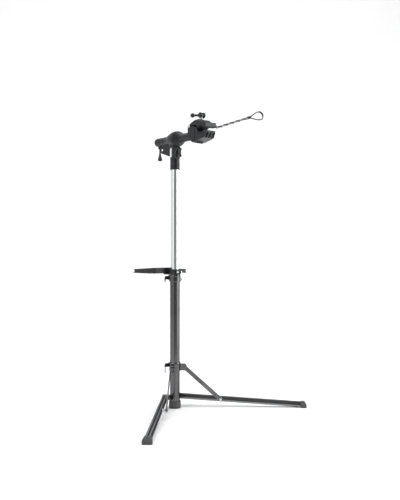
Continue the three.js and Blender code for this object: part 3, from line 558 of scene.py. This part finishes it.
def make_loop():
    def rounded_ends(t):
        return 1 - 0.25 * abs(2 * t - 1) ** 6
    points = smooth_line([mm(*p) for p in LOOP_POINTS], 8)
    loop = stands_for(sweep(points, LOOP_DIAMETER / 2 / MM, 14, "rope_loop"), "strap_loop")
    sleeve = sweep(points[LOOP_SLEEVED], 4.3, 18, "loop_sleeve", rounded_ends)
    added(sleeve, "strap_loop", "rubber")
    return loop, sleeve, points


rope = make_rope()
ferrule = make_ferrule()
loop, loop_sleeve, loop_line = make_loop()


# ------------------------------------------------------------------ shared shapes
SIDES = {"right": 1, "left": -1}
LEGS_TURN = 1.3  # degrees of both legs about the column, from the arm's plane


def side_vectors(sign):
    """Out to the foot, and away from the column, for the plane that a leg lies in."""
    yaw = math.radians(LEGS_TURN + (-45 if sign > 0 else -135))
    along = Vector((math.cos(yaw), math.sin(yaw), 0))
    return along, Vector((-along.y, along.x, 0)) * sign


def side_point(sign, s, n, z):
    """A point s out along a leg's plane and n away from the column, at a height of z."""
    along, out = side_vectors(sign)
    return (along * s + out * n + Vector((0, 0, z))) * MM


def hexed(socket_radius):
    """Makes the part of a turned profile inside socket_radius six-sided."""
    def wave(angle, r, h):
        if r > socket_radius + 0.01:
            return r
        return r / math.cos((angle + math.pi / 6) % (math.pi / 3) - math.pi / 6)
    return wave


def screw_head(name, origin, axis, radius, height, recess, dome):
    """A socket head with a rounded rim and a six-sided recess. Its underside lies at origin."""
    bottom = 0.45 * height - 0.6
    profile = [
        (0, bottom), (recess * 0.35, bottom - 0.1), (recess, bottom + 0.25),
        (recess, height - 0.35), (recess + 0.35, height), (radius * 0.72, height - dome * 0.12),
        (radius * 0.9, height - dome * 0.55), (radius, height - dome * 1.3), (radius, 0.5),
        (radius - 0.4, 0), (0, 0),
    ]
    return lathe(name, profile, origin, axis, 60, hexed(recess))


def threaded(name, origin, axis, length, radius, pitch, depth, plain=(0, 0)):
    """A rod with a helical thread, between plain ends."""
    u, v, w = frame_about(axis)
    origin = Vector(origin)
    sides, rows_a_turn = 20, 6
    rows = int(length / pitch * rows_a_turn)
    rings = []
    for i in range(rows + 1):
        h = length * i / rows
        ring = []
        for j in range(sides):
            angle = 2 * math.pi * j / sides
            turn = (h / pitch - j / sides) % 1
            cut = depth * (0.5 + 0.5 * math.cos(2 * math.pi * turn))
            if h < plain[0] or h > length - plain[1]:
                cut = 0
            out = u * math.cos(angle) + v * math.sin(angle)
            ring.append(origin + (out * (radius - cut) + w * h) * MM)
        rings.append(ring)
    return grid_tube(name, rings)


# ------------------------------------------------------------------ column and foot
def make_column():
    """A tube that stands in a rubber foot with two grooves round it."""
    foot = lathe("column_rubber_foot", [
        (0, 0), (24.5, 0), (26.5, 0.6), (28.4, 2.2), (28.9, 4), (28.9, 12), (28.5, 12.6),
        (28.5, 13.8), (28.9, 14.4), (28.9, 25.4), (28.5, 26), (27.7, 26.4), (27.7, 28.2),
        (28.5, 28.6), (28.9, 29.2), (28.7, 32.6), (27.9, 33.7), (26.6, 34), (24.6, 34),
        (24.0, 33.2), (24.0, 8), (0, 8),
    ])
    stands_for(foot, "column_foot", finish="grey_rubber")
    tube = lathe("main_column_tube", [
        (21.8, 8.8), (22.3, 8.3), (23.0, 8.3), (23.5, 8.8), (23.5, 640.0), (23.1, 640.5),
        (22.2, 640.5), (21.8, 640.1),
    ], steps=128)
    stands_for(tube, "main_tube")
    stands_for(moulded("leg_hub", "leg_hub_casting", 0.8, 4), "leg_hub", finish="black_tube")


def make_mast():
    tube = lathe("mast_tube", [
        (18.8, 500.4), (19.3, 500), (20.2, 500), (20.6, 500.5), (20.6, 1254.4), (20.1, 1255),
        (19.3, 1255), (18.8, 1254.5),
    ], steps=128)
    stands_for(tube, "inner_tube")
    stands_for(refined("guide_bush", "mast_guide_bush", 0.5), "guide_bush")


# ------------------------------------------------------------------ collars and their levers
COLLAR_BOLT_Z = {"slider": 205, "height": 630}
COLLAR_BOLT_Y = 35
LEVER_HEAD = 8.5  # how far below its bolt the plastic of a lever reaches; its tail is steel
GUIDE_ANGLE, GUIDE_RADIUS, GUIDE_Z = -62, 34.6, 623.5


def make_collar_bolt(collar):
    """The cam's eye bolt, with a fine thread behind its nut."""
    node, name, z = f"{collar}_bolt", f"{collar}_cam_bolt", COLLAR_BOLT_Z[collar]
    stands_for(refined(node, name, 0.35), node)
    tip = threaded(name + "_thread", mm(16.4, COLLAR_BOLT_Y, z), (1, 0, 0), 3.2, 2.9, 0.8, 0.3)
    added(tip, node, "steel")
    pin = lathe(name + "_cam_pin", [
        (0, -7.4), (1.9, -7.4), (2.2, -7.0), (2.2, 7.0), (1.9, 7.4), (0, 7.4)
    ], mm(-22, COLLAR_BOLT_Y, z), (0, 1, 0), 32)
    added(pin, node, "steel")


def make_collar_lever(collar):
    node = f"{collar}_lever"
    lever = moulded(node, f"{collar}_cam_lever", 0.5, 4)
    stands_for(lever, node, finish="black_plastic")
    second_finish(lever, "steel", lambda p: p.z < COLLAR_BOLT_Z[collar] - LEVER_HEAD)


def make_collars():
    for collar in ("slider", "height"):
        node = f"{collar}_collar"
        stands_for(moulded(node, node + "_moulding", 0.75, 5), node, finish="black_tube")
    for collar in ("slider", "height"):
        make_collar_bolt(collar)
    for collar in ("height", "slider"):
        make_collar_lever(collar)
    stands_for(refined("guide_screw", "guide_screw_body", 0.3), "guide_screw")
    angle = math.radians(GUIDE_ANGLE)
    out = Vector((math.cos(angle), math.sin(angle), 0))
    place = (out * GUIDE_RADIUS + Vector((0, 0, GUIDE_Z))) * MM
    cap = screw_head("guide_screw_cap", place, out, 4.6, 1.7, 2.0, 0.4)
    added(cap, "guide_screw", "dark_steel")


# ------------------------------------------------------------------ legs and braces
LEG_HINGE_Z, LEG_OFFSET = 50, 48  # of the leg's middle: its height at the column, and its distance
LEG_FALL = math.tan(math.radians(3.3))
LEG_HALF = 11.2  # just inside the leg's outer faces
GROOVE_HALF = 3.1
SIDE_LAND = (-9, -GROOVE_HALF)  # heights of the lower strip of a side that is painted lighter, a painted reflection of the floor
# across the top, beside the groove: the strip painted lighter as a painted highlight
TOP_LAND = (GROOVE_HALF, 10.6)
FOOT_RIB_HEIGHTS = (6.5, 10.5, 14.5)
FOOT_RIB_PATH = (  # (away from the column, out along the leg)
    (27.9, 619), (27.9, 632), (31.5, 636.6), (64.5, 636.6), (68.1, 632), (68.1, 619),
)
RIVET_DOME = [(0, 0.9), (1.2, 0.8), (2.6, 0.45), (4.4, 0.1), (5.0, -0.3), (0, -0.3)]
UPPER_RIVET = {"s": 45, "z": 194.5, "outer": 22.4, "inner": -0.1}
LOWER_RIVET = {"s": 221.4, "z": 39, "inner": 12.1}


def make_foot(side, sign):
    """A ribbed rubber shoe on the leg's end."""
    node = f"leg_foot_{side}"
    stands_for(moulded(node, f"{side}_foot_shoe", 0.8, 4), node, finish="grey_rubber")
    for i, z in enumerate(FOOT_RIB_HEIGHTS):
        points = [side_point(sign, s, n, z) for n, s in FOOT_RIB_PATH]
        rib = sweep(smooth_line(points, 6), 0.75, 8, f"{side}_foot_rib_{i + 1}")
        added(rib, node, "grey_rubber")


def on_painted_light_strip(p, along, out):
    """Whether a point of a leg lies in a strip painted lighter: low on one of its sides, a painted
    reflection of the floor, or on its top beside the groove, a painted highlight.
    """
    height = p.z - LEG_HINGE_Z + p.dot(along) * LEG_FALL
    across = abs(p.dot(out) - LEG_OFFSET)
    low_on_side = SIDE_LAND[0] < height < SIDE_LAND[1] and across > LEG_HALF
    return low_on_side or (height > LEG_HALF and TOP_LAND[0] < across < TOP_LAND[1])


def make_leg(side, sign):
    along, out = side_vectors(sign)
    tube, knuckle, lug, pin = (f"leg_{part}_{side}" for part in ("tube", "knuckle", "lug", "pin"))
    extrusion = stands_for(refined(tube, f"{side}_leg_extrusion", 0.35), tube, finish="leg")
    # paints the strips of painted reflection and painted highlight onto the black leg
    second_finish(extrusion, "land", lambda p: on_painted_light_strip(p, along, out))
    stands_for(moulded(knuckle, f"{side}_leg_knuckle", 0.7, 6), knuckle, finish="grey_plastic")
    make_foot(side, sign)
    stands_for(refined(lug, f"{side}_leg_lug", 0.5), lug)
    brace = f"brace_{side}"
    stands_for(refined(brace, f"{side}_brace_bar", 0.9, 3), brace, finish="brace")
    stands_for(refined(pin, f"{side}_leg_pin", 0.5), pin)
    end = side_point(sign, 0, 63.0, LEG_HINGE_Z)
    added(screw_head(f"{side}_leg_pin_cap", end, out, 5.6, 1.4, 2.6, 0.4), pin, "steel")


def make_rivets(side, sign):
    """The brace's two rivets: the upper one is painted with it, and the lower one is bare."""
    out = side_vectors(sign)[1]
    upper, lower = f"brace_upper_pin_{side}", f"brace_lower_pin_{side}"
    bare = "steel" if side == "right" else "dark_steel"
    stands_for(refined(upper, f"{side}_upper_rivet", 0.9, 3), upper, finish="brace")
    stands_for(refined(lower, f"{side}_lower_rivet", 0.8, 3), lower, finish=bare)
    for node, letter, rivet, end, facing, finish in (
        (upper, "a", UPPER_RIVET, "outer", out, "brace"),
        (upper, "b", UPPER_RIVET, "inner", -out, "brace"),
        (lower, "b", LOWER_RIVET, "inner", -out, bare),
    ):
        place = side_point(sign, rivet["s"], rivet[end], rivet["z"])
        added(lathe(f"{node}_dome_{letter}", RIVET_DOME, place, facing, 32), node, finish)


def make_legs():
    for side, sign in SIDES.items():
        make_leg(side, sign)
        make_rivets(side, sign)


# ------------------------------------------------------------------ tray
def make_tray():
    stands_for(moulded("tray_ring", "tray_ring_casting", 0.75, 5), "tray_ring")
    stands_for(refined("tray_pan", "tray_pan_moulding", 0.9, 3), "tray_pan")
    for x, node in ((-12, "tray_screw_left"), (12, "tray_screw_right")):
        head = screw_head(node + "_head", mm(x, 50, 652.6), (0, 0, 1), 4.2, 1.6, 2.0, 0.3)
        stands_for(head, node)
    stands_for(refined("tray_bolt", "tray_clamp_bolt", 0.5), "tray_bolt")
    cap = screw_head("tray_bolt_cap", mm(-12.2, -33, 659), (-1, 0, 0), 5.4, 1.2, 2.6, 0.4)
    added(cap, "tray_bolt", "steel")


# ------------------------------------------------------------------ head
LOCK_SCREW = mm(0, 120, 1230)
ARM_Z = 1301
FORWARD, UP = Vector((0, -1, 0)), Vector((0, 0, 1))
RINGS = {  # radius, and how far forward each starts and ends
    "friction_ring_1": (37, 22.3, 30),
    "friction_ring_2": (34, 30.3, 38),
    "friction_ring_3": (31, 38.3, 45.7),
}
RING_BORE = 14.4
NECK_START, NECK_END, NECK_RADIUS = 54, 137, 20.3


def make_head():
    stands_for(moulded("head_bracket", "head_bracket_casting", 0.8, 7), "head_bracket")
    for node, beside, x, z in (
        ("head_bolt_upper", "head_lever", -20.6, 1252),
        ("head_bolt_lower", "head_bolt_lower", -13.6, 1220),
    ):
        stands_for(refined(node, node + "_shank", 0.6, 3), node, finish="dark_steel")
        cap = screw_head(node + "_cap", mm(x, -31.5, z), (-1, 0, 0), 5.0, 1.6, 2.6, 0.4)
        added(cap, beside, "dark_steel")
    stands_for(moulded("head_lever", "head_cam_lever", 0.5, 6), "head_lever")
    stands_for(refined("barrel_cap", "barrel_end_cap", 0.8, 3), "barrel_cap")
    screw = threaded("arm_lock_screw", LOCK_SCREW, UP, 56.2, 4, 1.25, 0.5, (15, 3))
    collar = lathe("arm_lock_collar", [
        (3.6, 0.2), (6.7, 0.2), (7, 0.8), (5.2, 12), (4.6, 15.6), (3.6, 15.8)
    ], LOCK_SCREW, UP, 48)
    stands_for(screw, "lock_screw", finish="dark_steel")
    added(collar, "lock_screw", "dark_steel")
    stands_for(moulded("lock_knob", "arm_lock_knob", 0.4, 5), "lock_knob")


def make_rings():
    """Each friction ring has a groove round its rim and broken edges."""
    for node, (radius, start, end) in RINGS.items():
        middle = (start + end) / 2
        profile = [
            (RING_BORE, start), (radius - 1, start), (radius, start + 0.8),
            (radius, middle - 1.2), (radius - 0.7, middle - 0.6), (radius - 0.7, middle + 0.4),
            (radius, middle + 1), (radius, end - 1.6), (radius - 0.5, end - 0.6),
            (radius - 1.5, end), (RING_BORE, end),
        ]
        ring = lathe(node + "_turned", profile, mm(0, 0, ARM_Z), FORWARD, 128)
        stands_for(ring, node)


def make_shaft():
    """The neck between the rings and the jaws, with the four long flats that a casting has."""
    def flats(angle, r, h):
        if not NECK_START < h < NECK_END or r < 18:
            return r
        ease = min(1, (h - NECK_START) / 8, (NECK_END - h) / 8)
        return r - 0.9 * ease * (0.5 - 0.5 * math.cos(4 * angle)) ** 2
    rows = [(NECK_RADIUS, NECK_START + 0.5 + 83 * i / 40) for i in range(41)]
    shaft = lathe("clamp_neck", [
        (0, -126), (13.4, -126), (14, -125.2), (14, 46.1), (22.2, 46.1), (22.7, 46.8),
        (22.7, 51.2), (22.2, 52), (20.8, 53.2), (NECK_RADIUS, NECK_START), *rows, (0, 137.6),
    ], mm(0, 0, ARM_Z), FORWARD, 128, flats)
    stands_for(shaft, "clamp_shaft")


# ------------------------------------------------------------------ jaws
ROD_BASE = mm(0, -170.2, 1270.2)
ROD_HEAD = mm(0, -202, 1388)
ROD_ALONG = (ROD_HEAD - ROD_BASE).normalized()
ROD_LENGTH, EYE_FROM = 117, 113  # of its thread, and where on the rod its eye starts
LEVER = Vector((0, 0.989, 0.146)).normalized()
LEVER_REACH, BALL = 68, 11
MOUTH_F, MOUTH_Z, MOUTH_RADIUS = 228, 1317, 19.3
LIP = 10.3  # of each jaw, from the mouth's middle
TIP, PAD = 264.5, 3
PAD_HALF = 30
PAD_GAP = 0.3
PAD_RIB = 0.45
JAW_PIN_CAP = mm(35.2, -150, 1340)


def on_rod(distance):
    return ROD_BASE + ROD_ALONG * distance * MM


def pad_strip(name, upper):
    """A moulded rubber lining: its inner face has fine ribs across the jaw."""
    flip = 1 if upper else -1
    outer, inner = MOUTH_RADIUS - PAD_GAP, MOUTH_RADIUS - PAD_GAP - PAD
    lip = MOUTH_Z + flip * (LIP - PAD_GAP)
    face = lip - flip * PAD
    reach = 150 if upper else 165
    first = math.degrees(math.asin((lip - MOUTH_Z) * flip / outer))
    first_inner = math.degrees(math.asin((face - MOUTH_Z) * flip / inner))

    def polar(radius, angle):
        a = math.radians(flip * angle)
        return (MOUTH_F + radius * math.cos(a), MOUTH_Z + radius * math.sin(a))

    back = [polar(outer, first + (reach - first) * i / 30) for i in range(31)]
    front = []
    for i in range(97):
        rib = PAD_RIB if i % 2 == 0 else 0
        front.append(polar(inner + rib, first_inner + (reach - first_inner) * i / 96))
    outline = [(TIP - 1, face), (TIP - 1, lip), *back, *reversed(front)]
    return flat_piece(name, outline, FORWARD, UP, -PAD_HALF, PAD_HALF, bevel=0.5)


def make_jaws():
    stands_for(moulded("lower_jaw", "lower_jaw_casting", 0.75, 5), "lower_jaw")
    stands_for(moulded("upper_jaw", "upper_jaw_casting", 0.75, 6), "upper_jaw")
    stands_for(pad_strip("lower_jaw_pad", False), "lower_pad")
    stands_for(pad_strip("upper_jaw_pad", True), "upper_pad")
    stands_for(refined("jaw_pin", "jaw_hinge_pin", 0.6, 3), "jaw_pin")
    for side in ("left", "right"):
        outward_x = Vector((SIDES[side], 0, 0))
        place = JAW_PIN_CAP * Vector((SIDES[side], 1, 1))
        dome = screw_head(f"jaw_pin_cap_{side}", place, outward_x, 5, 1.3, 2.2, 0.4)
        added(dome, "jaw_pin", "steel")
    anchor = screw_head("strap_anchor_screw", mm(33.3, -258, 1333), (1, 0, 0), 6.5, 4.7, 2.4, 0.9)
    stands_for(anchor, "strap_anchor", finish="dark_steel")


def make_rod():
    """A threaded rod, and the eye at its head."""
    rod = threaded("clamp_threaded_rod", on_rod(-1), ROD_ALONG, ROD_LENGTH, 4.8, 1.5, 0.5, (0, 8))
    eye = applied(refined("clamp_rod", "clamp_rod_eye", 0.5))
    bm = bmesh.new()
    bm.from_mesh(eye.data)
    bmesh.ops.bisect_plane(
        bm, geom=bm.verts[:] + bm.edges[:] + bm.faces[:], plane_co=on_rod(EYE_FROM),
        plane_no=ROD_ALONG, clear_inner=True,
    )
    bmesh.ops.holes_fill(bm, edges=[e for e in bm.edges if e.is_boundary])
    bm.to_mesh(eye.data)
    bm.free()
    stands_for(rod, "clamp_rod")
    added(outward(eye), "clamp_rod", "steel")


def make_cam():
    """The cam lever with its pin and ball, the washer that it presses on, and the adjuster."""
    stands_for(refined("cam_washer", "cam_seat_washer", 0.7, 3), "cam_washer")
    stands_for(refined("cam_pin", "cam_cross_pin", 0.5, 3), "cam_pin", finish="dark_steel")
    stands_for(moulded("cam_lever", "cam_lever_moulding", 0.6, 6), "cam_lever")
    centre = ROD_HEAD + LEVER * LEVER_REACH * MM
    rows = 36
    profile = [(0, -BALL)]
    for i in range(1, rows):
        angle = math.pi * (i / rows - 0.5)
        seam = 0.12 if i == rows / 2 else 0
        profile.append(((BALL + seam) * math.cos(angle), BALL * math.sin(angle)))
    profile += [(1.6, BALL - 0.08), (1.3, BALL - 0.3), (0, BALL - 0.3)]
    stands_for(lathe("cam_ball_grip", profile, centre, LEVER, 64), "cam_ball")
    stands_for(moulded("adjuster_wheel", "adjuster_grip_wheel", 0.5, 4), "adjuster_wheel")


make_column()
make_mast()
make_collars()
make_legs()
make_tray()
make_head()
make_rings()
make_shaft()
make_jaws()
make_rod()
make_cam()


# ------------------------------------------------------------------ studio
FLOOR_NEAR, FLOOR_FAR, FLOOR_HALF_WIDTH = -9, 5, 11
BEND, WALL_TOP = 2, 9  # the radius in which the floor curves up, and the wall's height
PANEL = 0.24  # brightness of the dark panel
PANEL_FROM, PANEL_TO = -26, 54  # degrees to the right of the way to the camera
MAT_FROM, MAT_TO, MAT_HEIGHT = 1.5, 8, 0.003


def paper_finish(name, grey, spread, scale, detail):
    finish = Finish(name, (grey,) * 3, 0.9)
    stops = [(0.3, (grey - spread,) * 3), (0.7, (grey + spread,) * 3)]
    return finish.paint(finish.colours(finish.noise(scale, detail), stops)).material


def make_floor():
    """A pale floor that curves up, far behind, into a pale wall."""
    profile = [(FLOOR_NEAR, 0), (FLOOR_FAR, 0)]
    for i in range(1, 13):
        a = math.pi / 2 * i / 12
        profile.append((FLOOR_FAR + BEND * math.sin(a), BEND - BEND * math.cos(a)))
    profile.append((FLOOR_FAR + BEND, WALL_TOP))
    verts = [
        TO_RIGHT * w - TO_CAMERA * d + Vector((0, 0, z))
        for d, z in profile for w in (-FLOOR_HALF_WIDTH, FLOOR_HALF_WIDTH)
    ]
    faces = [(2 * i, 2 * i + 1, 2 * i + 3, 2 * i + 2) for i in range(len(profile) - 1)]
    floor = new_object("studio_floor", verts, faces)
    floor.data.shade_smooth()
    floor.data.materials.append(paper_finish("studio_paper", 0.93, 0.01, 3, 2))


def make_mat():
    """The greyer part of the studio's floor, nearer to the camera than the picture reaches."""
    turns = [math.radians(a) for a in range(PANEL_FROM, PANEL_TO + 1, 8)]
    near, far = (
        [(TO_CAMERA * math.cos(a) + TO_RIGHT * math.sin(a)) * r + Vector((0, 0, MAT_HEIGHT))
         for a in turns]
        for r in (MAT_FROM, MAT_TO)
    )
    mat = new_object("studio_mat", near + far[::-1], [tuple(range(2 * len(turns)))])
    mat.data.materials.append(paper_finish("studio_carpet", 0.42, 0.02, 60, 3))


def make_world():
    """Even light, with one broad dark panel beside the camera that the bright metal mirrors."""
    world = bpy.data.worlds.new("studio")
    world.use_nodes = True
    bpy.context.scene.world = world
    nodes, links = world.node_tree.nodes, world.node_tree.links
    background = nodes["Background"]
    socket(background, "Strength", 1.0)
    where = nodes.new("ShaderNodeTexCoord").outputs["Generated"]

    def along(direction):
        dot = nodes.new("ShaderNodeVectorMath")
        dot.operation = "DOT_PRODUCT"
        dot.inputs[1].default_value = direction
        links.new(where, dot.inputs[0])
        return dot.outputs["Value"]

    def math_node(operation, first, second):
        node = nodes.new("ShaderNodeMath")
        node.operation = operation
        for place, value in ((0, first), (1, second)):
            if isinstance(value, (int, float)):
                node.inputs[place].default_value = value
            else:
                links.new(value, node.inputs[place])
        return node.outputs[0]

    azimuth = math_node("ARCTAN2", along(TO_RIGHT), along(TO_CAMERA))
    turn = math_node("DIVIDE", math_node("ADD", azimuth, math.pi), 2 * math.pi)
    ramp = nodes.new("ShaderNodeValToRGB")
    brightness = [  # (degrees to the right of the way to the camera, value)
        (-180, 0.95), (-100, 0.75), (-60, 0.8), (-36, 1.3), (-30, 1.35), (PANEL_FROM, PANEL),
        (PANEL_TO, PANEL), (58, 1.6), (90, 1.6), (130, 0.8), (180, 0.95),
    ]
    fill_ramp(ramp, [((a + 180) / 360, (v, v, v * 1.01)) for a, v in brightness])
    links.new(turn, ramp.inputs["Fac"])
    links.new(ramp.outputs["Color"], background.inputs["Color"])


def make_lamp(name, location, target, size, power):
    data = bpy.data.lights.new(name, "AREA")
    data.shape = "RECTANGLE"
    data.size, data.size_y = size
    data.energy = power
    lamp = bpy.data.objects.new(name, data)
    lamp.location = location
    lamp.rotation_euler = (Vector(target) - Vector(location)).to_track_quat("-Z", "Y").to_euler()
    bpy.context.scene.collection.objects.link(lamp)


make_floor()
make_mat()
make_world()
for lamp in (  # name, location, target, size, power in watts
    ("wall", (1.6, 1.9, 4.2), (4.4, 5.2, 1.2), (9, 2), 150),
    ("key", (-3.4, -0.4, 3.2), (0, 0, 0.8), (2.2, 1.6), 55),
    ("fill", (2.4, -2.6, 2.2), (0, 0, 0.9), (1.6, 2.4), 14),
    ("strip", (1.46, -1.9, 1.2), (0, 0, 1.2), (1.8, 2.4), 22),
    ("top", (0.2, 0.4, 3.6), (0, 0, 0.8), (2.4, 2.4), 40),
):
    make_lamp(*lamp)

view = bpy.context.scene.view_settings
view.view_transform = "Standard"
view.look = "None"
